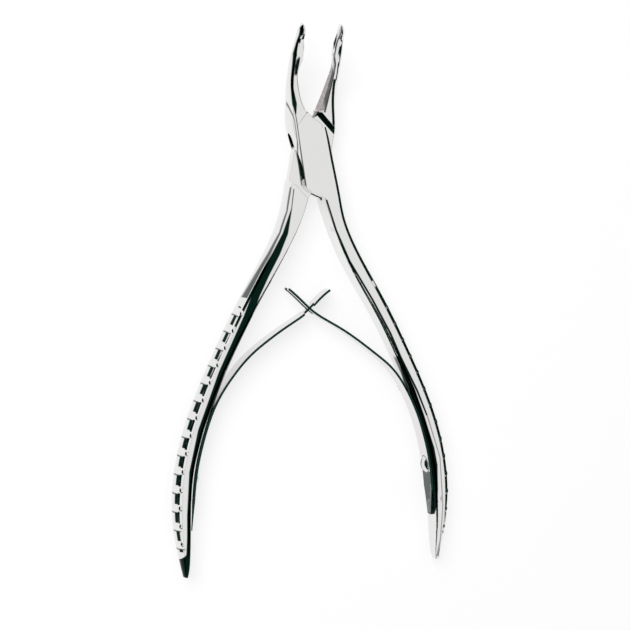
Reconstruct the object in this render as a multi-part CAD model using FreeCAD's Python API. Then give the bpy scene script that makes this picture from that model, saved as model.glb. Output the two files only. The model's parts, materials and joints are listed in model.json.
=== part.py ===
import FreeCAD, Part
import math
import os

# Bone rongeur with a box lock, in millimetres.
# The tool lies on its back on z = 0, +Z is up out of its front face, +Y runs along it to the
# jaws, and the origin is on the pivot axis in the back face. Both halves are drawn closed,
# mirrored about the plane x = 0 where the cups meet, and are then opened about the pivot.

V = FreeCAD.Vector

# Lock
THICKNESS = 8.4
GRIND = 0.03
OPENING = 16.9
SLOT_HEIGHT = 3.2
LOCK_CLEARANCE = 0.05
SLOT_REACH = 8.6
SLOT_LEAN = 54.0
TONGUE_RADIUS = 5.3
TONGUE_ARM_TIP = 12.9
TONGUE_NECK = (-5.6, -8.8)
PLATE_HALF_WIDTH = 3.5
FAR = 60.0

# Edges where the box plates end, and the shoulders of the other half that stand off them
PLATE_TOP = [(-0.15, 12.5), (1.2, 10.6), (4.6, 7.5), (7.5, 5.2)]
PLATE_BOTTOM = [(-6.0, -5.2), (-4.4, -7.0), (-2.2, -9.5), (1.35, -11.7)]
SHOULDER_TOP = [(0.15, 12.6), (4.4, 9.1), (8.0, 6.6)]
SHOULDER_BOTTOM = [(-9.0, -5.9), (-4.1, -8.5), (-0.5, -11.4)]

# Bevel between the flat faces and the crowned sides
BEVEL_WIDTH = 0.8
BEVEL_SHARE = 0.3
BEVEL_FALL = 0.36

# Pivot rivet
RIVET_RADIUS = 2.0
RIVET_HEAD_RADIUS = 2.8
RIVET_HEAD_DEPTH = 0.8

# Jaws: the path runs up the tool, then bends up out of the front
BEND_START = 10.0
BEND_RADIUS = 26.2
BEND_ANGLE = 35.0
JAW_LENGTH = 29.0
JAW_FACE_GAP = 0.15
CUP_FACE_GAP = 0.02
CUP_LENGTH = 9.4
CUP_DEPTH = 0.8
CUP_RADIUS = 1.2
CUP_END_WALL = 1.6

# Hollow ground across the jaws' inner faces: path length from the bend start, depth
RELIEF = [(2.3, 0.0), (4.0, 0.9), (6.5, 1.42), (9.5, 1.7), (12.5, 1.82), (15.0, 1.78), (16.6, 1.45),
          (18.2, 0.9), (20.0, 0.45), (22.0, 0.2), (24.5, 0.0)]

# Line up to which the front is ground flat, across the root of each jaw
FLAT_END = [(JAW_FACE_GAP, 12.4), (3.5, 9.0), (8.0, 8.2)]

# Handles
HANDLE_END = -119.6
RIB_COUNT = 14
FIRST_RIB = -44.8
RIB_PITCH = 5.2
RIB_RADIUS = 1.1
RIB_PROUD = 0.04
SHOULDER_FALL = 0.85
ROOT_CROWN = 0.7

# Leaf springs
LEAF_THICKNESS = 0.65
LEAF_WIDTH = 6.0
LEAF_TIP_WIDTH = 4.6
LEAF_SEAT_START = -79.0
LEAF_SEAT_END = -106.6
LEAF_END_WIDTH = 1.8
LEAF_END_TAPER = 8.0
FORK_SLOT = 2.3
FORK_CROTCH = 1.8
NECK_CLEARANCE = 0.1
NECK_BELOW = 1.4
NECK_ABOVE = 1.5
BLADE_TOP = -30.0
BLADE_SPAN = 36.0
LEAF_SEAT_GAP = 0.04
LEAF_SEAT_STEPS = 8
STRIP_STEPS = 18
NARROW_START = 27.0
HOLE_LENGTH = 6.0
CUT_SPARE = 1.0

# Spring screws
SCREW_Y = -92.0
SCREW_HEAD_RADIUS = 2.4
SCREW_HEAD_HEIGHT = 1.3
SCREW_SHANK_RADIUS = 1.15
SCREW_DEPTH = 3.4
SCREW_SLOT_WIDTH = 0.6
SCREW_SLOT_DEPTH = 0.7
SCREW_CLEARANCE = 0.1
SCREW_SEAT_GAP = 0.04

MIDDLE = THICKNESS / 2
HALF_OPENING = OPENING / 2

# Full depth of a section before its flat faces are ground level
FULL = THICKNESS + 2 * GRIND

# Jaw sections: path length from the bend start, outer side, depth, inner corner, crown
JAW_ROOT_BOX = [(-20.0, 4.4, FULL, 0.3, 0.7), (-16.0, 4.35, FULL, 0.3, 0.7),
                (-12.0, 4.3, FULL, 0.3, 0.7), (-8.0, 4.5, FULL, 0.3, 0.7),
                (-4.0, 5.05, FULL, 0.3, 0.7)]
JAW_ROOT_TONGUE = [(-8.0, 5.5, FULL, 0.3, 0.7), (-4.0, 5.5, FULL, 0.3, 0.7)]
JAW_SECTIONS = [(0.0, 5.4, FULL, 0.3, 0.8), (4.0, 5.0, 8.3, 0.35, 1.1), (8.0, 4.55, 6.8, 0.4, 1.2),
                (12.0, 4.15, 5.0, 0.4, 1.2), (15.0, 3.8, 4.3, 0.3, 1.2), (18.5, 3.35, 4.5, 0.2, 1.4),
                (21.5, 2.8, 3.7, 0.15, 1.2), (25.0, 2.05, 2.5, 0.12, 0.8),
                (JAW_LENGTH, 0.6, 1.3, 0.08, 0.2)]

# Handle sections: height, inner face, outer side, depth, inner corner across and deep, crown
HANDLE_ROOT_BOX = [(7.6, 2.6, 5.2, FULL, 0.3, 0.3, 0.7), (2.0, 2.2, 5.8, FULL, 0.3, 0.3, 0.7),
                   (-5.0, 1.6, 6.15, FULL, 0.3, 0.3, 0.7), (-13.0, 1.4, 6.5, FULL, 0.3, 0.3, 0.7),
                   (-21.0, 2.75, 7.4, FULL, 0.35, 0.35, 0.8)]
HANDLE_ROOT_TONGUE = [(-5.0, 0.15, 5.7, FULL, 0.3, 0.3, 0.7),
                      (-12.0, 0.15, 6.1, FULL, 0.3, 0.3, 0.7),
                      (-20.0, 1.75, 7.1, FULL, 0.35, 0.35, 0.8)]
HANDLE_SECTIONS = [(-30.0, 5.1, 10.2, FULL, 0.9, 0.6, 0.9), (-42.0, 9.7, 14.9, FULL, 1.6, 1.0, 1.15),
                   (-55.0, 14.3, 19.3, FULL, 2.1, 1.3, 1.4), (-68.0, 18.0, 23.1, FULL, 2.4, 1.5, 1.5),
                   (-80.0, 20.4, 25.65, FULL, 2.4, 1.5, 1.5),
                   (-90.0, 21.3, 26.55, FULL, 2.3, 1.5, 1.5),
                   (-99.0, 21.0, 26.15, FULL, 1.9, 1.3, 1.5), (-107.0, 20.25, 24.6, 7.8, 1.4, 1.1, 1.3),
                   (-114.0, 19.4, 22.4, 6.0, 0.8, 0.8, 1.0), (HANDLE_END, 19.1, 20.3, 3.2, 0.3, 0.4, 0.35)]

# Free blades of the leaf springs, in the open position, from the seat to the tip
FORK_BLADE = [(27.05, -65.5), (22.9, -59.5), (18.1, -55.3), (12.4, -50.9), (5.7, -46.5),
              (0.2, -43.1), (-5.4, -37.9), (-7.2, -36.4)]
TONGUE_BLADE = [(-27.3, -65.7), (-24.2, -61.1), (-18.4, -54.5), (-12.6, -50.0), (-6.8, -46.2),
                (-2.4, -43.4), (2.7, -38.6), (4.9, -37.0)]
CROSSING_X = -1.2


def turned(point, degrees):
    """A flat point turned about the pivot."""
    angle = math.radians(degrees)
    x, y = point
    return (x * math.cos(angle) - y * math.sin(angle), x * math.sin(angle) + y * math.cos(angle))


def prism(points, low, high):
    """An upright solid on a flat outline."""
    corners = [V(x, y, low) for x, y in points]
    return Part.Face(Part.makePolygon(corners + corners[:1])).extrude(V(0, 0, high - low))


def section_wire(centre, across, up, inner, outer, depth, corner_across, corner_deep, crown,
                 shoulder=0.0):
    """A section with a flat inner face, rounded inner corners, bevels and a crowned outer side."""
    half = depth / 2

    def at(u, v):
        return centre + across * u + up * v

    flat = outer - crown - inner - corner_across
    bevel = min(BEVEL_WIDTH, BEVEL_SHARE * flat)
    low = half - BEVEL_FALL * bevel - shoulder
    bend_u = corner_across * (1 - math.sqrt(0.5))
    bend_v = corner_deep * (1 - math.sqrt(0.5))
    edges = [Part.LineSegment(at(inner, corner_deep - half), at(inner, half - corner_deep)),
             Part.Arc(at(inner, half - corner_deep), at(inner + bend_u, half - bend_v),
                      at(inner + corner_across, half)),
             Part.LineSegment(at(inner + corner_across, half), at(outer - crown - bevel, half)),
             Part.LineSegment(at(outer - crown - bevel, half), at(outer - crown, low)),
             Part.Arc(at(outer - crown, low), at(outer, 0), at(outer - crown, -low)),
             Part.LineSegment(at(outer - crown, -low), at(outer - crown - bevel, -half)),
             Part.LineSegment(at(outer - crown - bevel, -half), at(inner + corner_across, -half)),
             Part.Arc(at(inner + corner_across, -half), at(inner + bend_u, bend_v - half),
                      at(inner, corner_deep - half))]
    return Part.Wire([edge.toShape() for edge in edges])


def jaw_path(length):
    """Point on the jaw's bent centre line, and its slope, at a length from the bend start."""
    bend = math.radians(BEND_ANGLE)
    angle = min(max(length / BEND_RADIUS, 0.0), bend)
    y = BEND_START + BEND_RADIUS * math.sin(angle)
    z = MIDDLE + BEND_RADIUS * (1 - math.cos(angle))
    rest = length - angle * BEND_RADIUS
    return V(0, y + rest * math.cos(angle), z + rest * math.sin(angle)), angle


def jaw(root):
    """The right jaw: its shank, the ground relief and the hollow cup."""
    wires = []
    for length, outer, depth, corner, crown in root + JAW_SECTIONS:
        point, angle = jaw_path(length)
        inner = JAW_FACE_GAP if length < RELIEF[1][0] else CUP_FACE_GAP
        up = V(0, -math.sin(angle), math.cos(angle))
        wires.append(section_wire(point, V(1, 0, 0), up, inner, outer, depth, corner, corner, crown))
    over_back = Part.makeBox(2 * FAR, 2 * FAR, FAR, V(-FAR, -FAR, -FAR))
    over_front = prism([(-FAR, FLAT_END[0][1])] + FLAT_END + [(FAR, FLAT_END[-1][1]), (FAR, -FAR),
                                                              (-FAR, -FAR)], THICKNESS, FAR)
    body = Part.makeLoft(wires, True, False).cut([over_back, over_front])
    return body.cut(jaw_relief()).cut(jaw_cup())


def jaw_relief():
    """The hollow ground between the shank and the cup, square to the jaw's path."""
    wires = []
    for length, depth in RELIEF:
        point, angle = jaw_path(length)
        up = V(0, -math.sin(angle), math.cos(angle)) * THICKNESS
        ground = point + V(depth, 0, 0)
        clear = point - V(THICKNESS, 0, 0)
        corners = [ground - up, ground + up, clear + up, clear - up]
        wires.append(Part.makePolygon(corners + corners[:1]))
    return Part.makeLoft(wires, True, False)


def jaw_cup():
    """The hollow of the cup, round across and curved along the straight end of the jaw."""
    middle, angle = jaw_path(JAW_LENGTH - CUP_END_WALL - CUP_LENGTH / 2)
    sweep = (CUP_LENGTH ** 2 / 4 + CUP_DEPTH ** 2) / (2 * CUP_DEPTH)
    up = V(0, -math.sin(angle), math.cos(angle))
    return Part.makeTorus(sweep - CUP_RADIUS, CUP_RADIUS, middle + V(CUP_DEPTH - sweep, 0, 0), up)


def handle(root):
    """The right handle, from the lock to its tip, with the ribs on its outer side."""
    sections = root + HANDLE_SECTIONS
    wires = [section_wire(V(0, y, MIDDLE), V(1, 0, 0), V(0, 0, 1), inner, outer, depth,
                          corner_across, corner_deep, crown, handle_shoulder(crown))
             for y, inner, outer, depth, corner_across, corner_deep, crown in sections]
    level = Part.makeBox(FAR, 3 * FAR, THICKNESS, V(-1, -2.5 * FAR, 0))
    body = Part.makeLoft(wires, True, False).common(level)
    return body.fuse(handle_ribs()).removeSplitter().cut(screw_hole())


def handle_shoulder(crown):
    """How far the crown of the handle stands back from its flat faces, between the ribs."""
    return SHOULDER_FALL * max(crown - ROOT_CROWN, 0.0)


def edge_curve(column):
    """The curve of the handle's inner or outer edge, column 1 or 2 of its sections."""
    curve = Part.BSplineCurve()
    curve.interpolate([V(section[column], section[0], MIDDLE) for section in HANDLE_SECTIONS])
    return curve


def at_height(curve, y):
    """Point of an edge curve at a height, and its downward direction."""
    low, high = curve.FirstParameter, curve.LastParameter
    for step in range(40):
        middle = (low + high) / 2
        if curve.value(middle).y > y:
            low = middle
        else:
            high = middle
    return curve.value(low), curve.tangent(low)[0]


def between_sections(y, column):
    """A section value at any height, straight between its neighbours."""
    for upper, lower in zip(HANDLE_SECTIONS, HANDLE_SECTIONS[1:]):
        if lower[0] <= y <= upper[0]:
            share = (y - upper[0]) / (lower[0] - upper[0])
            return upper[column] + share * (lower[column] - upper[column])
    return HANDLE_SECTIONS[0][column]


def handle_ribs():
    """The row of round-ended grip ribs that wrap the crown of the handle."""
    curve = edge_curve(2)
    start, down = at_height(curve, FIRST_RIB)
    first = curve.parameter(start)
    ribs = []
    for index in range(RIB_COUNT):
        parameter = curve.parameterAtDistance(index * RIB_PITCH, first)
        point = curve.value(parameter)
        ribs.append(rib(point, curve.tangent(parameter)[0], between_sections(point.y, 3),
                        between_sections(point.y, 6)))
    return ribs


def rib(point, along, depth, crown):
    """One rib: a round bar bent about the crown, up to the full outline, with ball ends."""
    half = depth / 2
    bar_radius = (half ** 2 + crown ** 2) / (2 * crown) + RIB_PROUD - RIB_RADIUS
    turn = math.degrees(math.asin((half - RIB_RADIUS) / bar_radius))
    bar = Part.makeTorus(bar_radius, RIB_RADIUS, V(0, 0, 0), V(0, 0, 1), 0, 360, 2 * turn)
    bar.rotate(V(0, 0, 0), V(0, 0, 1), -turn)
    ends = []
    for side in (-1, 1):
        angle = math.radians(side * turn)
        end = V(math.cos(angle), math.sin(angle), 0) * bar_radius
        heading = V(-math.sin(angle), math.cos(angle), 0) * side
        ends.append(Part.makeSphere(RIB_RADIUS, end, heading, 0, 90, 360))
    shape = bar.fuse(ends).removeSplitter()
    outward = outward_from(along)
    across = outward.cross(V(0, 0, 1))
    frame = FreeCAD.Matrix(outward.x, 0, across.x, 0, outward.y, 0, across.y, 0,
                           0, 1, 0, 0, 0, 0, 0, 1)
    shape.Placement = FreeCAD.Placement(frame)
    shape.translate(point - outward * (bar_radius + RIB_RADIUS - RIB_PROUD))
    return shape


def outward_from(along):
    """The direction square to the handle, away from the middle of the tool."""
    outward = V(0, 0, 1).cross(along).normalize()
    return outward if outward.x > 0 else outward * -1


def screw_frame():
    """Where the spring screw enters the inner face, and the direction out of the face."""
    point, down = at_height(edge_curve(1), SCREW_Y)
    return point, outward_from(down) * -1


def screw_hole():
    point, out = screw_frame()
    return Part.makeCylinder(SCREW_SHANK_RADIUS, SCREW_DEPTH + CUT_SPARE, point + out * CUT_SPARE,
                             out * -1)


def spring_screw():
    """A slotted screw with a domed head over the leaf."""
    face, out = screw_frame()
    seat = face + out * (LEAF_SEAT_GAP + LEAF_THICKNESS + SCREW_SEAT_GAP)
    shank = Part.makeCylinder(SCREW_SHANK_RADIUS, SCREW_DEPTH + LEAF_THICKNESS, seat, out * -1)
    dome_radius = (SCREW_HEAD_RADIUS ** 2 + SCREW_HEAD_HEIGHT ** 2) / (2 * SCREW_HEAD_HEIGHT)
    dome = Part.makeSphere(dome_radius, seat + out * (SCREW_HEAD_HEIGHT - dome_radius))
    head = dome.common(Part.makeCylinder(SCREW_HEAD_RADIUS, SCREW_HEAD_HEIGHT, seat, out))
    slot = Part.makeBox(SCREW_SLOT_DEPTH, 2 * SCREW_HEAD_RADIUS, SCREW_SLOT_WIDTH,
                        V(-SCREW_SLOT_DEPTH, -SCREW_HEAD_RADIUS, -SCREW_SLOT_WIDTH / 2))
    slot.Placement = FreeCAD.Placement(seat + out * SCREW_HEAD_HEIGHT,
                                       FreeCAD.Rotation(V(1, 0, 0), out)).multiply(slot.Placement)
    return shank.fuse(head).cut(slot).removeSplitter()


def slot_tool():
    """The round-ended slot through the lock, along its leaning direction."""
    lean = math.radians(SLOT_LEAN)
    along = V(math.cos(lean), math.sin(lean), 0)
    aside = V(-math.sin(lean), math.cos(lean), 0)
    radius = SLOT_HEIGHT / 2
    flat = SLOT_REACH - radius
    start = V(0, 0, MIDDLE) - along * FAR / 2
    top = V(0, 0, radius)
    edges = [Part.makeLine(start - aside * flat + top, start + aside * flat + top),
             Part.Arc(start + aside * flat + top, start + aside * SLOT_REACH,
                      start + aside * flat - top).toShape(),
             Part.makeLine(start + aside * flat - top, start - aside * flat - top),
             Part.Arc(start - aside * flat - top, start - aside * SLOT_REACH,
                      start - aside * flat + top).toShape()]
    return Part.Face(Part.Wire(edges)).extrude(along * FAR)


def rivet_shape():
    """The pivot rivet, countersunk in both plates."""
    shank = Part.makeCylinder(RIVET_RADIUS, THICKNESS)
    back = Part.makeCone(RIVET_HEAD_RADIUS, RIVET_RADIUS, RIVET_HEAD_DEPTH)
    front = Part.makeCone(RIVET_RADIUS, RIVET_HEAD_RADIUS, RIVET_HEAD_DEPTH,
                          V(0, 0, THICKNESS - RIVET_HEAD_DEPTH))
    return shank.fuse([back, front]).removeSplitter()


def mirrored(shape):
    return shape.mirror(V(0, 0, 0), V(1, 0, 0))


def opened(shape, side):
    """A closed half turned to the open position: side 1 for the box half, -1 for the other."""
    return shape.rotated(V(0, 0, 0), V(0, 0, 1), side * HALF_OPENING)


def box_half():
    """Left jaw, box and right handle, with the slot through the box."""
    above = prism(PLATE_TOP + [(FAR, PLATE_TOP[-1][1]), (FAR, FAR), (PLATE_TOP[0][0], FAR)],
                  -FAR, FAR)
    below = prism(PLATE_BOTTOM + [(PLATE_BOTTOM[-1][0], -FAR), (-FAR, -FAR),
                                  (-FAR, PLATE_BOTTOM[0][1])], -FAR, FAR)
    low = PLATE_BOTTOM[-1][1]
    middle = Part.makeBox(2 * PLATE_HALF_WIDTH, PLATE_TOP[0][1] - low, THICKNESS,
                          V(-PLATE_HALF_WIDTH, low, 0))
    right = handle(HANDLE_ROOT_BOX).cut(above)
    left = mirrored(jaw(JAW_ROOT_BOX)).cut(below)
    body = middle.cut([above, below]).fuse([right, left]).removeSplitter()
    return opened(body.cut(slot_tool()).cut(rivet_shape()), 1)


def tongue_outline():
    """The tongue: a disc about the pivot with an arm to the jaw and one to the handle."""
    arm = V(JAW_FACE_GAP, TONGUE_ARM_TIP, 0)
    lean = math.atan2(arm.y, arm.x) + math.acos(TONGUE_RADIUS / arm.Length)
    touch = V(math.cos(lean), math.sin(lean), 0) * TONGUE_RADIUS
    side = V(-TONGUE_RADIUS, 0, 0)
    bulge = V(math.cos((lean + math.pi) / 2), math.sin((lean + math.pi) / 2), 0) * TONGUE_RADIUS
    neck = V(*TONGUE_NECK, 0)
    edges = []
    for turn in (1, -1):
        edges += [Part.makeLine(arm * turn, touch * turn),
                  Part.Arc(touch * turn, bulge * turn, side * turn).toShape(),
                  Part.makeLine(side * turn, neck * turn),
                  Part.makeLine(neck * turn, arm * -turn)]
    return Part.Face(Part.Wire(edges))


def tongue_half():
    """Right jaw, tongue and left handle."""
    layer = SLOT_HEIGHT - 2 * LOCK_CLEARANCE
    tongue = tongue_outline().extrude(V(0, 0, layer))
    tongue.translate(V(0, 0, MIDDLE - layer / 2))
    below = prism([(-FAR, SHOULDER_TOP[0][1])] + SHOULDER_TOP + [(FAR, 0), (-FAR, 0)], -FAR, FAR)
    above = prism(SHOULDER_BOTTOM + [(FAR, SHOULDER_BOTTOM[-1][1]), (FAR, 0), (-FAR, 0)],
                  -FAR, FAR)
    upper = jaw(JAW_ROOT_TONGUE).cut(below)
    lower = mirrored(handle(HANDLE_ROOT_TONGUE)).cut(above)
    body = tongue.fuse([upper, lower]).removeSplitter()
    bore = Part.makeCylinder(RIVET_RADIUS + LOCK_CLEARANCE, THICKNESS)
    return opened(body.cut(bore), -1)


def leaf_spring(side, blade, width_cut):
    """A leaf spring along a handle's inner face and out to its free blade, open position."""
    seat = []
    curve = edge_curve(1)
    for step in range(LEAF_SEAT_STEPS + 1):
        y = LEAF_SEAT_END + step / LEAF_SEAT_STEPS * (LEAF_SEAT_START - LEAF_SEAT_END)
        point, down = at_height(curve, y)
        middle = point - outward_from(down) * (LEAF_SEAT_GAP + LEAF_THICKNESS / 2)
        seat.append(turned((side * middle.x, middle.y), side * HALF_OPENING))
    route = Part.BSplineCurve()
    route.interpolate([V(x, y, 0) for x, y in seat + blade])
    strip = thick_strip(route).extrude(V(0, 0, LEAF_WIDTH))
    strip.translate(V(0, 0, MIDDLE - LEAF_WIDTH / 2))
    face, out = screw_frame()
    centre = V(*turned((side * face.x, face.y), side * HALF_OPENING), MIDDLE)
    axis = V(*turned((side * out.x, out.y), side * HALF_OPENING), 0)
    hole = Part.makeCylinder(SCREW_SHANK_RADIUS + SCREW_CLEARANCE, HOLE_LENGTH,
                             centre - axis * (HOLE_LENGTH / 2), axis)
    return strip.cut([hole] + width_cut)


def side_cuts(x_start, x_end, half_start, half_end):
    """Two solids that narrow a leaf evenly about its middle, between two places across."""
    cuts = []
    far = 2 * LEAF_WIDTH
    for side in (-1, 1):
        corners = [V(x_start, 0, MIDDLE + side * half_start), V(x_end, 0, MIDDLE + side * half_end),
                   V(x_end, 0, MIDDLE + side * far), V(x_start, 0, MIDDLE + side * far)]
        cut = Part.Face(Part.makePolygon(corners + corners[:1])).extrude(V(0, -BLADE_SPAN, 0))
        cut.translate(V(0, BLADE_TOP, 0))
        cuts.append(cut)
    return cuts


def end_cuts(side):
    """Two solids that taper a leaf's seat end."""
    cuts = []
    point, down = at_height(edge_curve(1), LEAF_SEAT_END)
    across, end = turned((side * point.x, point.y), side * HALF_OPENING)
    low, high = end - CUT_SPARE, end + LEAF_END_TAPER
    far = 2 * LEAF_WIDTH
    for face in (-1, 1):
        corners = [V(0, low, MIDDLE + face * LEAF_END_WIDTH / 2),
                   V(0, high, MIDDLE + face * LEAF_WIDTH / 2),
                   V(0, high, MIDDLE + face * far), V(0, low, MIDDLE + face * far)]
        cut = Part.Face(Part.makePolygon(corners + corners[:1])).extrude(V(2 * far, 0, 0))
        cut.translate(V(across - far, 0, 0))
        cuts.append(cut)
    return cuts


def fork_leaf_spring():
    """The right leaf, whose tip is split into two prongs."""
    narrow = side_cuts(NARROW_START, FORK_BLADE[-1][0] - CUT_SPARE, LEAF_WIDTH / 2, LEAF_TIP_WIDTH / 2)
    crotch = CROSSING_X + FORK_CROTCH
    length = crotch - FORK_BLADE[-1][0] + 2 * CUT_SPARE
    split = Part.makeBox(length, BLADE_SPAN, FORK_SLOT,
                         V(crotch - length, BLADE_TOP - BLADE_SPAN, MIDDLE - FORK_SLOT / 2))
    return leaf_spring(1, FORK_BLADE, narrow + end_cuts(1) + [split])


def tongue_leaf_spring():
    """The left leaf, whose narrow neck runs through the fork to a wide head."""
    narrow = side_cuts(-NARROW_START, TONGUE_BLADE[-1][0] + CUT_SPARE, LEAF_WIDTH / 2, LEAF_TIP_WIDTH / 2)
    half = FORK_SLOT / 2 - NECK_CLEARANCE
    neck = side_cuts(CROSSING_X - NECK_BELOW, CROSSING_X + NECK_ABOVE, half, half)
    return leaf_spring(-1, TONGUE_BLADE, narrow + end_cuts(-1) + neck)


def thick_strip(route):
    """A flat strip of leaf thickness about a route."""
    count = STRIP_STEPS
    low, high = route.FirstParameter, route.LastParameter
    sides = []
    for offset in (-LEAF_THICKNESS / 2, LEAF_THICKNESS / 2):
        points = []
        for index in range(count + 1):
            parameter = low + (high - low) * index / count
            normal = V(0, 0, 1).cross(route.tangent(parameter)[0]).normalize()
            points.append(route.value(parameter) + normal * offset)
        curve = Part.BSplineCurve()
        curve.interpolate(points)
        sides.append(curve)
    first, second = sides
    edges = [first.toShape(), Part.makeLine(first.value(first.LastParameter),
                                            second.value(second.LastParameter)),
             second.toShape(), Part.makeLine(second.value(second.FirstParameter),
                                             first.value(first.FirstParameter))]
    return Part.Face(Part.Wire(Part.__sortEdges__(edges)))


parts = {
    "box_half": box_half(),
    "tongue_half": tongue_half(),
    "pivot_rivet": rivet_shape(),
    "fork_leaf_spring": fork_leaf_spring(),
    "tongue_leaf_spring": tongue_leaf_spring(),
    "box_spring_screw": opened(spring_screw(), 1),
    "tongue_spring_screw": opened(mirrored(spring_screw()), -1),
}

os.makedirs("parts", exist_ok=True)
for name, shape in parts.items():
    print(name, shape.isValid(), len(shape.Solids), round(shape.Volume, 2),
          [round(value, 2) for value in (shape.BoundBox.XMin, shape.BoundBox.YMin, shape.BoundBox.ZMin,
                                         shape.BoundBox.XMax, shape.BoundBox.YMax, shape.BoundBox.ZMax)])
    shape.exportStep("parts/" + name + ".step")
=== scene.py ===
import json
import math

import bpy
from mathutils import Matrix, Vector

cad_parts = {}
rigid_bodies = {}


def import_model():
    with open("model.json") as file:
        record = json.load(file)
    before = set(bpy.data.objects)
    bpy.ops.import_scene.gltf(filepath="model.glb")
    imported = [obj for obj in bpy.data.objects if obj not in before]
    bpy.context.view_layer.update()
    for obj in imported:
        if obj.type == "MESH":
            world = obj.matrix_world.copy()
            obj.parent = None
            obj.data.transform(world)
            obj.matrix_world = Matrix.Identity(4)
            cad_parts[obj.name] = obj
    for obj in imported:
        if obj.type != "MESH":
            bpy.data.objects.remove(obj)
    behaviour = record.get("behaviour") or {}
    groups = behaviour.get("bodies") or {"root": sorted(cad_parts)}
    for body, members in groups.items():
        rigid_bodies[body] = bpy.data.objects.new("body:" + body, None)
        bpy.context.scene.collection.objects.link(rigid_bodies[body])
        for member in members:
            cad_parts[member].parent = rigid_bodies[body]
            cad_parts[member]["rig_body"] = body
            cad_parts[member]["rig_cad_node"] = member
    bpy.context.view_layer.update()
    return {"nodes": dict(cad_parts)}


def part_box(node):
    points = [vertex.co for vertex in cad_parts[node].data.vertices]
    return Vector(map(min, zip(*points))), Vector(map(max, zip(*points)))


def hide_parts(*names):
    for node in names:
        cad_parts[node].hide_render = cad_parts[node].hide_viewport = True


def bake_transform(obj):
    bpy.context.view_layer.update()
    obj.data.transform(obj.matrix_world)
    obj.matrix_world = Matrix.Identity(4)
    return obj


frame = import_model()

# Sizes in metres
MM = 0.001
THICKNESS = 8.4 * MM
HALF_OPENING = math.radians(8.45)
BEND_START = 10.0 * MM
BEND_RADIUS = 26.2 * MM
EDGE_ROUNDING = 0.14 * MM
RIVET_RIM = 3.4 * MM

# Painted shade and dark reflections on the leaves: round the screw, and from below its middle to
# the tail
LEAF_SEAT = 2.6 * MM
TAIL_START = -1.6 * MM

# Ground relief on the jaws' inner faces: height along the tool, depth from the middle
RELIEF_START = 12.3 * MM
RELIEF_DEEPEST = 1.82 * MM
RELIEF_DEPTHS = [(14.0 * MM, 0.9 * MM), (16.4 * MM, 1.42 * MM), (19.3 * MM, 1.7 * MM),
                 (22.0 * MM, 1.82 * MM), (24.2 * MM, 1.78 * MM), (25.5 * MM, 1.45 * MM),
                 (26.8 * MM, 0.9 * MM)]

# Painted dark reflections and shade in the halves' colour, where polished steel would mirror dark
# bands. Each row: height along the closed tool, and the distances from its middle plane between
# which the front is painted dark
BOX_JAW_BAND = [(12.2, 3.4, 3.7), (15.0, 2.8, 3.95), (19.6, 3.1, 3.7), (24.2, 2.6, 3.3),
                (28.5, 2.1, 2.9), (32.8, 1.0, 1.6), (35.6, 0.1, 1.0)]
BOX_EDGE_LINE = [(-7.4, 3.5, 3.75), (0.8, 3.5, 3.75), (10.4, 3.4, 3.7), (12.4, 3.5, 3.75)]
BOX_STRIPE_LINE = [(-7.4, 4.15, 4.35), (10.4, 4.0, 4.2), (16.3, 4.75, 5.0)]
BOX_INNER_LINE = [(-12.2, 1.4, 1.85), (-21.0, 2.8, 3.35), (-30.0, 5.3, 5.9), (-42.0, 10.4, 11.0),
                  (-52.0, 14.1, 14.7), (-59.4, 16.2, 16.8), (-69.7, 19.6, 20.2),
                  (-77.3, 21.5, 22.0)]
BOX_LOWER_LINE = [(-77.3, 21.6, 22.0), (-90.0, 23.7, 24.0), (-104.0, 22.5, 22.8),
                  (-114.0, 20.6, 20.9), (-118.8, 19.2, 20.2)]
BOX_HOLLOW_SHADE = [(-59.0, 15.6, 15.9), (-64.3, 16.2, 18.0), (-69.3, 17.0, 19.4), (-77.0, 19.0, 21.0),
              (-87.0, 20.0, 22.6), (-92.0, 20.0, 22.8), (-98.5, 20.0, 22.0), (-103.0, 19.6, 21.3),
              (-107.0, 19.9, 20.0)]
TONGUE_JAW_LINE = [(12.4, 0.85, 1.4), (16.0, 1.35, 1.8), (19.5, 1.7, 2.1), (23.0, 1.65, 2.05),
                   (25.4, 1.1, 1.6), (27.5, 0.0, 0.55), (31.7, 0.0, 0.35), (35.2, 0.0, 0.3)]
TONGUE_BAND = [(-9.6, 4.5, 4.75), (-15.0, 4.4, 4.65), (-22.0, 4.55, 6.1), (-28.0, 6.1, 8.3),
               (-34.0, 8.3, 10.8), (-40.0, 10.2, 12.5), (-46.0, 11.5, 14.0), (-62.0, 17.0, 18.9),
               (-78.4, 20.8, 22.5), (-90.0, 22.2, 23.4), (-96.0, 22.0, 22.9), (-102.0, 21.2, 22.4),
               (-108.0, 20.3, 21.5), (-113.0, 19.4, 20.9), (-116.0, 19.0, 23.0),
               (-120.0, 18.0, 23.0)]
TONGUE_EDGE_LINE = [(-9.2, 5.3, 5.55), (-16.0, 5.5, 5.8), (-22.0, 6.6, 6.95), (-28.0, 8.6, 9.1),
                    (-34.0, 10.9, 11.6), (-41.0, 13.5, 14.5)]

# Outer edge of the handles: height, distance from the middle
OUTER_EDGE = [(-42.0, 14.9), (-55.0, 19.3), (-68.0, 23.1), (-80.0, 25.65), (-90.0, 26.55),
              (-99.0, 26.15), (-107.0, 24.6), (-114.0, 22.4), (-119.6, 20.3)]

# Ribs: height of the first, and from one to the next
FIRST_RIB = -44.8
RIB_PITCH = 5.2
RIB_COUNT = 14

# Painted shade between the ribs: half a rib and the painted shade line under it as shares of a
# step, and how far from the middle of the thickness the strip lies
RIB_HALF = 0.2
UNDER_RIB = (0.7, 0.78)
STRIP_DEPTHS = (1.8 * MM, 3.0 * MM)

# The ribs lean against the handle's edge: by how much more for each metre up, and from where
LEAN_GROWTH = 9.1
LEAN_HEIGHT = 94.0 * MM
LEAN_LEAST = -0.04
EDGE_SLOPE = 4.4 / 13
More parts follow.
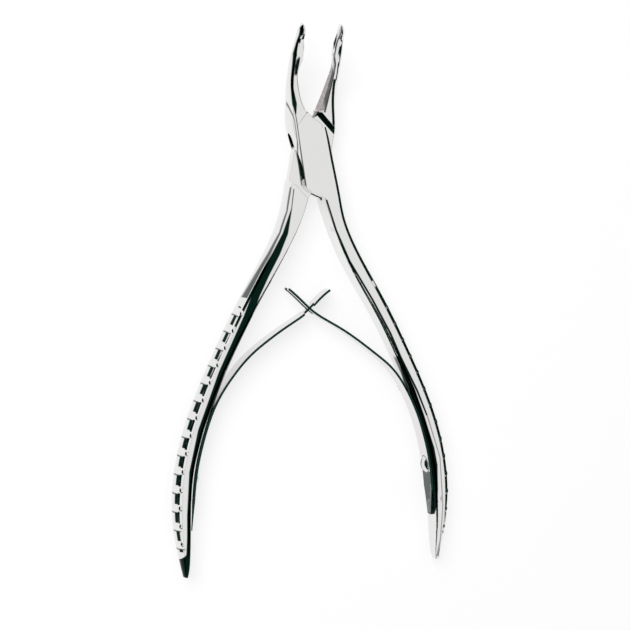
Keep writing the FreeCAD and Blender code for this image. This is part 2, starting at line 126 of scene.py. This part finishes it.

# Painted shade in the gap under the shoulder of the tongue half: fall of the shoulder, and its
# reach from the pivot
SHOULDER_FALL = 0.8
SHOULDER_LOW = 11.5 * MM
SHOULDER_HIGH = 12.75 * MM

# Colours
WHITE = (1.0, 1.0, 1.0)
MIRROR_STEEL = (0.8, 0.8, 0.795)
GROUND_DARK = (0.33, 0.29, 0.29)
GROUND_LIGHT = (0.62, 0.56, 0.56)
BOX_COLOR = (0.93, 0.93, 0.925)
FLAG_COLOR = (0.003, 0.014, 0.01)
LEAF_STEEL = (0.78, 0.76, 0.77)
# Painted shade and dark reflections on the leaf springs
LEAF_PAINTED_SHADE = (0.01, 0.035, 0.028)
# Painted dark reflections and shade on the halves
SHADE_COLOR = (0.003, 0.014, 0.01)
FLOOR_GLOW = 0.75

# Painted shade on the floor that only the steel's reflections show: where it starts to the right of
# the tool, how much further out for each unit below a height, and where it fades upwards
DARK_FLOOR_LEFT = 8 * MM
DARK_FLOOR_SPREAD = -0.42
DARK_FLOOR_KNEE = -15 * MM
DARK_FLOOR_TOP = 8 * MM

# The photograph's camera, aimed at a point in the middle of the tool
AIM = Vector((1.134, -44.024, 4.0)) * MM
CAMERA_DISTANCE = 450 * MM
CAMERA_YAW = math.radians(16.914)
CAMERA_PITCH = math.radians(4.126)
CAMERA_ROLL = math.radians(-0.43)
LENS_TO_WIDTH = 2.55
SENSOR_WIDTH = 36.0


def nothing_selected():
    bpy.ops.object.select_all(action="DESELECT")


def make_active(piece):
    nothing_selected()
    piece.select_set(True)
    bpy.context.view_layer.objects.active = piece


# Camera

def photograph_camera():
    back = Vector((-math.sin(CAMERA_YAW) * math.cos(CAMERA_PITCH), math.sin(CAMERA_PITCH),
                   math.cos(CAMERA_YAW) * math.cos(CAMERA_PITCH)))
    level = Vector((0, 1, 0)).cross(back).normalized()
    upright = back.cross(level)
    right = level * math.cos(CAMERA_ROLL) + upright * math.sin(CAMERA_ROLL)
    up = upright * math.cos(CAMERA_ROLL) - level * math.sin(CAMERA_ROLL)
    bpy.ops.object.camera_add(location=AIM + back * CAMERA_DISTANCE)
    camera = bpy.context.object
    camera.rotation_mode = "QUATERNION"
    camera.rotation_quaternion = Matrix((right, up, back)).transposed().to_quaternion()
    camera.data.sensor_width = SENSOR_WIDTH
    camera.data.lens = LENS_TO_WIDTH * SENSOR_WIDTH
    camera.data.clip_start = 0.01
    camera.data.clip_end = 10
    bpy.context.scene.camera = camera


# Materials

def new_material(name):
    material = bpy.data.materials.new(name)
    material.use_nodes = True
    nodes = material.node_tree.nodes
    nodes.clear()
    output = nodes.new("ShaderNodeOutputMaterial")
    shader = nodes.new("ShaderNodeBsdfPrincipled")
    material.node_tree.links.new(shader.outputs["BSDF"], output.inputs["Surface"])
    return material, shader


def object_coordinates(tree):
    return tree.nodes.new("ShaderNodeTexCoord").outputs["Object"]


def joined(tree, operation, *values, clamp=False):
    """A math node on sockets and numbers; its result."""
    node = tree.nodes.new("ShaderNodeMath")
    node.operation = operation
    node.use_clamp = clamp
    for place, value in enumerate(values):
        if isinstance(value, (int, float)):
            node.inputs[place].default_value = value
        else:
            tree.links.new(value, node.inputs[place])
    return node.outputs["Value"]


def eased(tree, value, low, high):
    """A soft step from 0 at low to 1 at high."""
    node = tree.nodes.new("ShaderNodeMapRange")
    node.interpolation_type = "SMOOTHSTEP"
    node.inputs["From Min"].default_value = low
    node.inputs["From Max"].default_value = high
    tree.links.new(value, node.inputs["Value"])
    return node.outputs["Result"]


def multiplied(tree, *values):
    result = values[0]
    for value in values[1:]:
        result = joined(tree, "MULTIPLY", result, value)
    return result


def closed_place(tree, entry):
    """Where a point of a half is with the tool closed: distance from the middle, height, depth,
    and one on the left of the middle."""
    closed = tree.nodes.new("ShaderNodeVectorRotate")
    closed.rotation_type = "Z_AXIS"
    tree.links.new(entry.outputs["Vector"], closed.inputs["Vector"])
    tree.links.new(entry.outputs["Turn"], closed.inputs["Angle"])
    parts = tree.nodes.new("ShaderNodeSeparateXYZ")
    tree.links.new(closed.outputs["Vector"], parts.inputs["Vector"])
    across = joined(tree, "ABSOLUTE", parts.outputs["X"])
    left = eased(tree, parts.outputs["X"], 0.1 * MM, -0.1 * MM)
    return across, parts.outputs["Y"], parts.outputs["Z"], left


def mixed(tree, factor, first, second):
    """A colour between two, each three numbers or a socket."""
    node = tree.nodes.new("ShaderNodeMix")
    node.data_type = "RGBA"
    for place, color in ((6, first), (7, second)):
        if isinstance(color, tuple):
            node.inputs[place].default_value = (*color, 1)
        else:
            tree.links.new(color, node.inputs[place])
    tree.links.new(factor, node.inputs["Factor"])
    return node.outputs[2]


def length_of(tree, first, second):
    """Length of a flat vector from its two parts."""
    return joined(tree, "SQRT", joined(tree, "ADD", multiplied(tree, first, first),
                                       multiplied(tree, second, second)))


def looked_up(tree, value, rows):
    """Two values read off rows of (place, first, second), in millimetres, along a socket."""
    rows = sorted(rows)
    start, end = rows[0][0], rows[-1][0]
    widest = max(max(abs(row[1]), abs(row[2])) for row in rows)
    ramp = tree.nodes.new("ShaderNodeValToRGB")
    stops = ramp.color_ramp.elements
    stops[0].position, stops[1].position = 0.0, 1.0
    for place, first, second in rows:
        if place == start:
            stop = stops[0]
        elif place == end:
            stop = stops[len(stops) - 1]
        else:
            stop = stops.new((place - start) / (end - start))
        stop.color = (first / widest, second / widest, 0, 1)
    share = joined(tree, "DIVIDE", joined(tree, "SUBTRACT", value, start * MM), (end - start) * MM)
    tree.links.new(share, ramp.inputs["Fac"])
    sides = tree.nodes.new("ShaderNodeSeparateColor")
    tree.links.new(ramp.outputs["Color"], sides.inputs["Color"])
    return (joined(tree, "MULTIPLY", sides.outputs["Red"], widest * MM),
            joined(tree, "MULTIPLY", sides.outputs["Green"], widest * MM))


def between(tree, value, low, high, soft):
    return multiplied(tree, eased(tree, value, low - soft, low + soft),
                      eased(tree, value, high + soft, high - soft))


def band(tree, across, height, rows, soft):
    """One between the two distances of the rows, eased over a soft width, zero past the rows."""
    low, high = looked_up(tree, height, rows)
    past_low = eased(tree, joined(tree, "SUBTRACT", across, low), -soft, soft)
    before_high = eased(tree, joined(tree, "SUBTRACT", high, across), -soft, soft)
    heights = [row[0] * MM for row in rows]
    return multiplied(tree, past_low, before_high,
                      between(tree, height, min(heights), max(heights), soft))


def rib_shade(tree, across, height, depth):
    """Painted shade: dark strips on the crown between the ribs, and a thin dark line under each
    rib.
    """
    down = 0.0
    edge = [(OUTER_EDGE[0][0], OUTER_EDGE[0][1], 0.0)]
    for (y0, x0), (y1, x1) in zip(OUTER_EDGE, OUTER_EDGE[1:]):
        down += math.hypot(y1 - y0, x1 - x0)
        edge.append((y1, x1, down))
    outer = looked_up(tree, height, edge)[0]
    lean = joined(tree, "MULTIPLY_ADD", joined(tree, "ADD", height, LEAN_HEIGHT), LEAN_GROWTH,
                  LEAN_LEAST)
    level = joined(tree, "MULTIPLY_ADD", joined(tree, "SUBTRACT", outer, across), lean, height)
    length = looked_up(tree, level, edge)[1]
    first = (OUTER_EDGE[0][0] - FIRST_RIB) * math.hypot(1, EDGE_SLOPE)
    turns = joined(tree, "DIVIDE", joined(tree, "SUBTRACT", length, first * MM), RIB_PITCH * MM)
    step = joined(tree, "FRACT", joined(tree, "ADD", turns, 0.5))
    ribbed = between(tree, turns, -0.3, RIB_COUNT - 0.6, 0.02)
    apart = joined(tree, "ABSOLUTE", joined(tree, "SUBTRACT", step, 0.5))
    aside = joined(tree, "ABSOLUTE", joined(tree, "SUBTRACT", depth, THICKNESS / 2))
    crown = eased(tree, joined(tree, "SUBTRACT", outer, across), 2.1 * MM, 1.9 * MM)
    strip = multiplied(tree, eased(tree, apart, RIB_HALF, RIB_HALF + 0.04),
                       between(tree, aside, *STRIP_DEPTHS, 0.2 * MM))
    under = multiplied(tree, between(tree, step, *UNDER_RIB, 0.02),
                       eased(tree, aside, 3.6 * MM, 3.2 * MM), 0.8)
    return multiplied(tree, ribbed, crown, joined(tree, "MAXIMUM", strip, under))


def shade_group(name):
    group = bpy.data.node_groups.new(name, "ShaderNodeTree")
    sockets = group.interface
    sockets.new_socket("Vector", in_out="INPUT", socket_type="NodeSocketVector")
    sockets.new_socket("Turn", in_out="INPUT", socket_type="NodeSocketFloat")
    sockets.new_socket("Shade", in_out="OUTPUT", socket_type="NodeSocketFloat")
    return group, group.nodes.new("NodeGroupInput"), group.nodes.new("NodeGroupOutput")


def bent_middle(tree, height):
    """How far a height is past the start of the jaw's bend, and the middle of the jaw there."""
    past = joined(tree, "MAXIMUM", joined(tree, "SUBTRACT", height, BEND_START), 0.0)
    middle = joined(tree, "MULTIPLY_ADD", joined(tree, "MULTIPLY", past, past),
                    0.5 / BEND_RADIUS, THICKNESS / 2)
    return past, middle


def front_side(tree, height, depth):
    """One on the front of a half, which bends forward at the jaw."""
    middle = bent_middle(tree, height)[1]
    return eased(tree, joined(tree, "SUBTRACT", depth, middle), 0.0, 0.6 * MM)


def darkest(tree, first, *others):
    result = first
    for other in others:
        result = joined(tree, "MAXIMUM", result, other)
    return result


def box_shade():
    """Painted dark reflections and shade on the box half: jaw, edge of the box, handle's inner
    edge, hollow, ribs.
    """
    group, entry, leave = shade_group("box half shade")
    across, height, depth, left = closed_place(group, entry)
    front = front_side(group, height, depth)
    jaw = band(group, across, height, BOX_JAW_BAND, 0.12 * MM)
    edges = joined(group, "MAXIMUM", band(group, across, height, BOX_EDGE_LINE, 0.08 * MM),
                   band(group, across, height, BOX_STRIPE_LINE, 0.08 * MM))
    edge = multiplied(group, edges, left, 0.8)
    inner = band(group, across, height, BOX_INNER_LINE, 0.1 * MM)
    lower = multiplied(group, band(group, across, height, BOX_LOWER_LINE, 0.1 * MM), 0.6)
    # Painted shade in the hollow by the leaf
    hollow = band(group, across, height, BOX_HOLLOW_SHADE, 0.12 * MM)
    faces = multiplied(group, front, darkest(group, jaw, edge, inner, lower, hollow))
    ribs = rib_shade(group, across, height, depth)
    group.links.new(darkest(group, faces, ribs), leave.inputs["Shade"])
    return group


def tongue_shade():
    """Painted dark reflections and shade on the tongue half: jaw, gap under the shoulder, handle,
    ribs.
    """
    group, entry, leave = shade_group("tongue half shade")
    across, height, depth = closed_place(group, entry)[:3]
    front = front_side(group, height, depth)
    jaw = multiplied(group, band(group, across, height, TONGUE_JAW_LINE, 0.1 * MM), 0.9)
    main = band(group, across, height, TONGUE_BAND, 0.14 * MM)
    edge = multiplied(group, band(group, across, height, TONGUE_EDGE_LINE, 0.12 * MM), 0.85)
    # Painted shade in the gap under the shoulder
    fall = joined(group, "MULTIPLY_ADD", across, SHOULDER_FALL, height)
    gap = multiplied(group, between(group, fall, SHOULDER_LOW, SHOULDER_HIGH, 0.06 * MM),
                     between(group, depth, 2.6 * MM, 8.2 * MM, 0.06 * MM),
                     eased(group, height, 5.0 * MM, 5.4 * MM))
    ribs = rib_shade(group, across, height, depth)
    faces = multiplied(group, front, darkest(group, jaw, main, edge))
    group.links.new(darkest(group, faces, gap, ribs), leave.inputs["Shade"])
    return group


def polish_group():
    """Faint swirls and smudges left by polishing: a roughness and a height."""
    group = bpy.data.node_groups.new("polish marks", "ShaderNodeTree")
    sockets = group.interface
    sockets.new_socket("Vector", in_out="INPUT", socket_type="NodeSocketVector")
    sockets.new_socket("Base Roughness", in_out="INPUT", socket_type="NodeSocketFloat")
    sockets.new_socket("Smudge", in_out="INPUT", socket_type="NodeSocketFloat")
    sockets.new_socket("Roughness", in_out="OUTPUT", socket_type="NodeSocketFloat")
    sockets.new_socket("Height", in_out="OUTPUT", socket_type="NodeSocketFloat")
    entry = group.nodes.new("NodeGroupInput")
    leave = group.nodes.new("NodeGroupOutput")
    smudge = group.nodes.new("ShaderNodeTexNoise")
    smudge.inputs["Scale"].default_value = 140.0
    smudge.inputs["Detail"].default_value = 5.0
    group.links.new(entry.outputs["Vector"], smudge.inputs["Vector"])
    spread = eased(group, smudge.outputs["Fac"], 0.45, 0.75)
    rough = joined(group, "MULTIPLY_ADD", spread, entry.outputs["Smudge"],
                   entry.outputs["Base Roughness"])
    group.links.new(rough, leave.inputs["Roughness"])
    wave = group.nodes.new("ShaderNodeTexNoise")
    wave.inputs["Scale"].default_value = 60.0
    wave.inputs["Detail"].default_value = 2.0
    group.links.new(entry.outputs["Vector"], wave.inputs["Vector"])
    group.links.new(wave.outputs["Fac"], leave.inputs["Height"])
    return group


def relief_group():
    """Where the inner face of a jaw is left as ground, and the grain of the grinding."""
    group = bpy.data.node_groups.new("ground relief", "ShaderNodeTree")
    sockets = group.interface
    sockets.new_socket("Vector", in_out="INPUT", socket_type="NodeSocketVector")
    sockets.new_socket("Turn", in_out="INPUT", socket_type="NodeSocketFloat")
    sockets.new_socket("Mask", in_out="OUTPUT", socket_type="NodeSocketFloat")
    sockets.new_socket("Grain", in_out="OUTPUT", socket_type="NodeSocketFloat")
    entry = group.nodes.new("NodeGroupInput")
    leave = group.nodes.new("NodeGroupOutput")
    across, height, depth = closed_place(group, entry)[:3]
    past, middle = bent_middle(group, height)
    along = joined(group, "MULTIPLY_ADD", joined(group, "SUBTRACT", depth, middle),
                   joined(group, "DIVIDE", past, BEND_RADIUS), height)
    ramp = group.nodes.new("ShaderNodeValToRGB")
    stops = ramp.color_ramp.elements
    stops.remove(stops[0])
    stops[0].position = 0.0
    stops[0].color = (0, 0, 0, 1)
    span = RELIEF_DEPTHS[-1][0] - RELIEF_START
    for place, hollow in RELIEF_DEPTHS:
        share = hollow / RELIEF_DEEPEST
        stops.new((place - RELIEF_START) / span).color = (share, share, share, 1)
    group.links.new(joined(group, "DIVIDE", joined(group, "SUBTRACT", along, RELIEF_START), span),
                    ramp.inputs["Fac"])
    surface = joined(group, "MULTIPLY", ramp.outputs["Color"], RELIEF_DEEPEST)
    near = eased(group, joined(group, "SUBTRACT", across, surface), 0.28 * MM, 0.12 * MM)
    inside = joined(group, "MULTIPLY", eased(group, along, RELIEF_START, RELIEF_START + 0.3 * MM),
                    eased(group, along, RELIEF_DEPTHS[-2][0], RELIEF_DEPTHS[-2][0] - 0.8 * MM))
    group.links.new(joined(group, "MULTIPLY", near, inside), leave.inputs["Mask"])
    laid = group.nodes.new("ShaderNodeMapping")
    laid.inputs["Rotation"].default_value = (math.radians(38), 0, 0)
    laid.inputs["Scale"].default_value = (1.0, 7.0, 0.5)
    group.links.new(entry.outputs["Vector"], laid.inputs["Vector"])
    grain = group.nodes.new("ShaderNodeTexNoise")
    grain.inputs["Scale"].default_value = 900.0
    grain.inputs["Detail"].default_value = 3.0
    group.links.new(laid.outputs["Vector"], grain.inputs["Vector"])
    group.links.new(eased(group, grain.outputs["Fac"], 0.35, 0.65), leave.inputs["Grain"])
    return group


def rounded_normal(tree, marks, strength):
    """Polished-over edges under faint polishing waves, with the rivet's rim ground away."""
    edge = tree.nodes.new("ShaderNodeBevel")
    edge.samples = 6
    place = tree.nodes.new("ShaderNodeSeparateXYZ")
    tree.links.new(object_coordinates(tree), place.inputs["Vector"])
    off_pivot = length_of(tree, place.outputs["X"], place.outputs["Y"])
    tree.links.new(multiplied(tree, eased(tree, off_pivot, RIVET_RIM, RIVET_RIM + 0.1 * MM),
                              EDGE_ROUNDING), edge.inputs["Radius"])
    bump = tree.nodes.new("ShaderNodeBump")
    bump.inputs["Strength"].default_value = strength
    bump.inputs["Distance"].default_value = 0.2 * MM
    tree.links.new(marks.outputs["Height"], bump.inputs["Height"])
    tree.links.new(edge.outputs["Normal"], bump.inputs["Normal"])
    return bump


def polish_node(tree, polish, roughness, smudge):
    marks = tree.nodes.new("ShaderNodeGroup")
    marks.node_tree = polish
    marks.inputs["Base Roughness"].default_value = roughness
    marks.inputs["Smudge"].default_value = smudge
    tree.links.new(object_coordinates(tree), marks.inputs["Vector"])
    return marks


def polished_steel(name, color, roughness, smudge, polish):
    material, shader = new_material(name)
    tree = material.node_tree
    shader.inputs["Base Color"].default_value = (*color, 1)
    shader.inputs["Metallic"].default_value = 1.0
    marks = polish_node(tree, polish, roughness, smudge)
    tree.links.new(marks.outputs["Roughness"], shader.inputs["Roughness"])
    tree.links.new(rounded_normal(tree, marks, 0.04).outputs["Normal"], shader.inputs["Normal"])
    return material


def leaf_steel(name, screw, polish):
    """Spring steel, bright on the flat, with painted shade and dark reflections on its edges and
    back, round its screw and on its tail.
    """
    material, shader = new_material(name)
    tree = material.node_tree
    shader.inputs["Metallic"].default_value = 1.0
    marks = polish_node(tree, polish, 0.12, 0.08)
    coordinates = tree.nodes.new("ShaderNodeTexCoord")
    facing = tree.nodes.new("ShaderNodeSeparateXYZ")
    tree.links.new(coordinates.outputs["Normal"], facing.inputs["Vector"])
    edges = eased(tree, joined(tree, "ABSOLUTE", facing.outputs["Z"]), 0.45, 0.6)
    back = eased(tree, facing.outputs["X"], 0.1, 0.3)
    low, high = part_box(screw)
    place = tree.nodes.new("ShaderNodeSeparateXYZ")
    tree.links.new(coordinates.outputs["Object"], place.inputs["Vector"])
    up = joined(tree, "SUBTRACT", place.outputs["Y"], (low[1] + high[1]) / 2)
    out = joined(tree, "SUBTRACT", place.outputs["Z"], (low[2] + high[2]) / 2)
    off_screw = length_of(tree, up, out)
    seat = eased(tree, off_screw, LEAF_SEAT + 0.1 * MM, LEAF_SEAT - 0.1 * MM)
    tail = eased(tree, up, TAIL_START, TAIL_START - 0.3 * MM)
    # Painted shade and dark reflections on the leaf: edges, back, round the screw, tail
    color = mixed(tree, darkest(tree, edges, back, seat, tail), LEAF_STEEL, LEAF_PAINTED_SHADE)
    tree.links.new(color, shader.inputs["Base Color"])
    tree.links.new(marks.outputs["Roughness"], shader.inputs["Roughness"])
    return material


def half_steel(name, turn, polish, relief, shade):
    """Mirror steel, with the inner face of the jaw left satin from the grinding wheel, and painted
    dark reflections and shade over its colour.
    """
    material, shader = new_material(name)
    tree = material.node_tree
    shader.inputs["Metallic"].default_value = 1.0
    marks = polish_node(tree, polish, 0.05, 0.04)
    ground = tree.nodes.new("ShaderNodeGroup")
    ground.node_tree = relief
    ground.inputs["Turn"].default_value = turn
    tree.links.new(object_coordinates(tree), ground.inputs["Vector"])
    grain = mixed(tree, ground.outputs["Grain"], GROUND_DARK, GROUND_LIGHT)
    steel = mixed(tree, ground.outputs["Mask"], MIRROR_STEEL, grain)
    # Painted dark reflections and shade from the shade group, mixed over the steel's colour
    dark = tree.nodes.new("ShaderNodeGroup")
    dark.node_tree = shade
    dark.inputs["Turn"].default_value = turn
    tree.links.new(object_coordinates(tree), dark.inputs["Vector"])
    tree.links.new(mixed(tree, dark.outputs["Shade"], steel, SHADE_COLOR),
                   shader.inputs["Base Color"])
    rough = joined(tree, "MULTIPLY_ADD", ground.outputs["Mask"], 0.4, marks.outputs["Roughness"])
    tree.links.new(rough, shader.inputs["Roughness"])
    tree.links.new(rounded_normal(tree, marks, 0.04).outputs["Normal"], shader.inputs["Normal"])
    return material


def finish_node(node, material):
    for slot in frame["nodes"][node].material_slots:
        slot.material = material


# Leaf springs

def bent_leaf(name, node, material):
    """A leaf spring, from its seat on the handle to its free blade, copied from its CAD node,
    welded and smooth-shaded; the node is hidden.
    """
    leaf = frame["nodes"][node].copy()
    leaf.data = leaf.data.copy()
    leaf.name = name
    leaf.parent = None
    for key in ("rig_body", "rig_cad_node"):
        del leaf[key]
    bpy.context.scene.collection.objects.link(leaf)
    make_active(leaf)
    bpy.ops.object.mode_set(mode="EDIT")
    bpy.ops.mesh.select_all(action="SELECT")
    bpy.ops.mesh.remove_doubles(threshold=0.001 * MM)
    bpy.ops.object.mode_set(mode="OBJECT")
    bpy.ops.object.shade_smooth_by_angle(angle=math.radians(30))
    for slot in leaf.material_slots:
        slot.material = material
    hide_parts(node)
    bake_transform(leaf)
    return leaf


# Floor, lights and world

def seen_directly(tree):
    """One for what the camera sees, and for what metal shows of it."""
    path = tree.nodes.new("ShaderNodeLightPath")
    rays = joined(tree, "MAXIMUM", path.outputs["Is Camera Ray"], path.outputs["Is Glossy Ray"])
    return joined(tree, "MAXIMUM", rays, path.outputs["Is Transmission Ray"])


def white_floor():
    """A white floor with a soft shadow under the tool, and painted shade to its right that only the
    steel's reflections show.
    """
    bpy.ops.mesh.primitive_plane_add(size=6, location=(0, 0, -0.0003))
    floor = bpy.context.object
    floor.name = "floor"
    material, shader = new_material("pale floor")
    shader.inputs["Base Color"].default_value = (0.9, 0.9, 0.9, 1)
    shader.inputs["Roughness"].default_value = 0.9
    tree = material.node_tree
    output = next(node for node in tree.nodes if node.type == "OUTPUT_MATERIAL")
    glow = tree.nodes.new("ShaderNodeEmission")
    mix = tree.nodes.new("ShaderNodeMixShader")
    place = tree.nodes.new("ShaderNodeSeparateXYZ")
    tree.links.new(object_coordinates(tree), place.inputs["Vector"])
    # Painted shade on the floor to the right of the tool, for glossy rays only
    below = joined(tree, "MINIMUM",
                   joined(tree, "SUBTRACT", place.outputs["Y"], DARK_FLOOR_KNEE), 0.0)
    edge = joined(tree, "MULTIPLY_ADD", below, DARK_FLOOR_SPREAD, DARK_FLOOR_LEFT)
    right = multiplied(tree,
                       eased(tree, joined(tree, "SUBTRACT", place.outputs["X"], edge), 0.0, 2 * MM),
                       eased(tree, place.outputs["Y"], DARK_FLOOR_TOP, DARK_FLOOR_TOP - 6 * MM))
    path = tree.nodes.new("ShaderNodeLightPath")
    dark = multiplied(tree, right, path.outputs["Is Glossy Ray"])
    tree.links.new(mixed(tree, dark, WHITE, FLAG_COLOR), glow.inputs["Color"])
    share = joined(tree, "MULTIPLY", seen_directly(tree), FLOOR_GLOW)
    tree.links.new(joined(tree, "MAXIMUM", share, dark), mix.inputs["Fac"])
    tree.links.new(shader.outputs["BSDF"], mix.inputs[1])
    tree.links.new(glow.outputs["Emission"], mix.inputs[2])
    tree.links.new(mix.outputs["Shader"], output.inputs["Surface"])
    floor.data.materials.append(material)


def studio_world():
    """A studio round the tool: a long soft box overhead, dark flags to either side and in front."""
    world = bpy.data.worlds.new("studio")
    bpy.context.scene.world = world
    world.use_nodes = True
    tree = world.node_tree
    tree.nodes.clear()
    output = tree.nodes.new("ShaderNodeOutputWorld")
    background = tree.nodes.new("ShaderNodeBackground")
    tree.links.new(background.outputs["Background"], output.inputs["Surface"])
    coordinates = tree.nodes.new("ShaderNodeTexCoord")
    parts = tree.nodes.new("ShaderNodeSeparateXYZ")
    tree.links.new(coordinates.outputs["Generated"], parts.inputs["Vector"])
    right = joined(tree, "MAXIMUM", eased(tree, parts.outputs["X"], 0.5, 0.41),
                   eased(tree, parts.outputs["Y"], -0.45, -0.55))
    left = eased(tree, parts.outputs["X"], -0.66, -0.56)
    front = joined(tree, "MULTIPLY", eased(tree, parts.outputs["Y"], -0.7, -0.8),
                   eased(tree, parts.outputs["X"], 0.14, 0.0))
    box = joined(tree, "MULTIPLY", joined(tree, "MULTIPLY", right, left),
                 joined(tree, "SUBTRACT", 1.0, front))
    studio = mixed(tree, box, FLAG_COLOR, BOX_COLOR)
    path = tree.nodes.new("ShaderNodeLightPath")
    tree.links.new(mixed(tree, path.outputs["Is Camera Ray"], studio, WHITE),
                   background.inputs["Color"])


def soft_light(name, place, size, power):
    bpy.ops.object.light_add(type="AREA", location=place)
    lamp = bpy.context.object
    lamp.name = name
    lamp.data.shape = "SQUARE"
    lamp.data.size = size
    lamp.data.energy = power
    lamp.visible_glossy = False
    lamp.rotation_euler = (AIM - Vector(place)).to_track_quat("-Z", "Y").to_euler()


photograph_camera()
polish = polish_group()
relief = relief_group()
fork_steel = leaf_steel("fork leaf steel", "box_spring_screw", polish)
tongue_steel = leaf_steel("tongue leaf steel", "tongue_spring_screw", polish)
screw_steel = polished_steel("screw steel", (0.78, 0.78, 0.77), 0.1, 0.08, polish)
finish_node("box_half", half_steel("box half steel", -HALF_OPENING, polish, relief, box_shade()))
finish_node("tongue_half", half_steel("tongue half steel", HALF_OPENING, polish, relief,
                                      tongue_shade()))
finish_node("pivot_rivet", polished_steel("rivet steel", MIRROR_STEEL, 0.05, 0.04, polish))
for node in ("box_spring_screw", "tongue_spring_screw"):
    finish_node(node, screw_steel)
bent_leaf("fork_leaf", "fork_leaf_spring", fork_steel)
bent_leaf("tongue_leaf", "tongue_leaf_spring",
          tongue_steel)
white_floor()
studio_world()
soft_light("key light", (-0.4, 0.3, 0.7), 0.5, 6)
bpy.context.scene.view_settings.view_transform = "Standard"
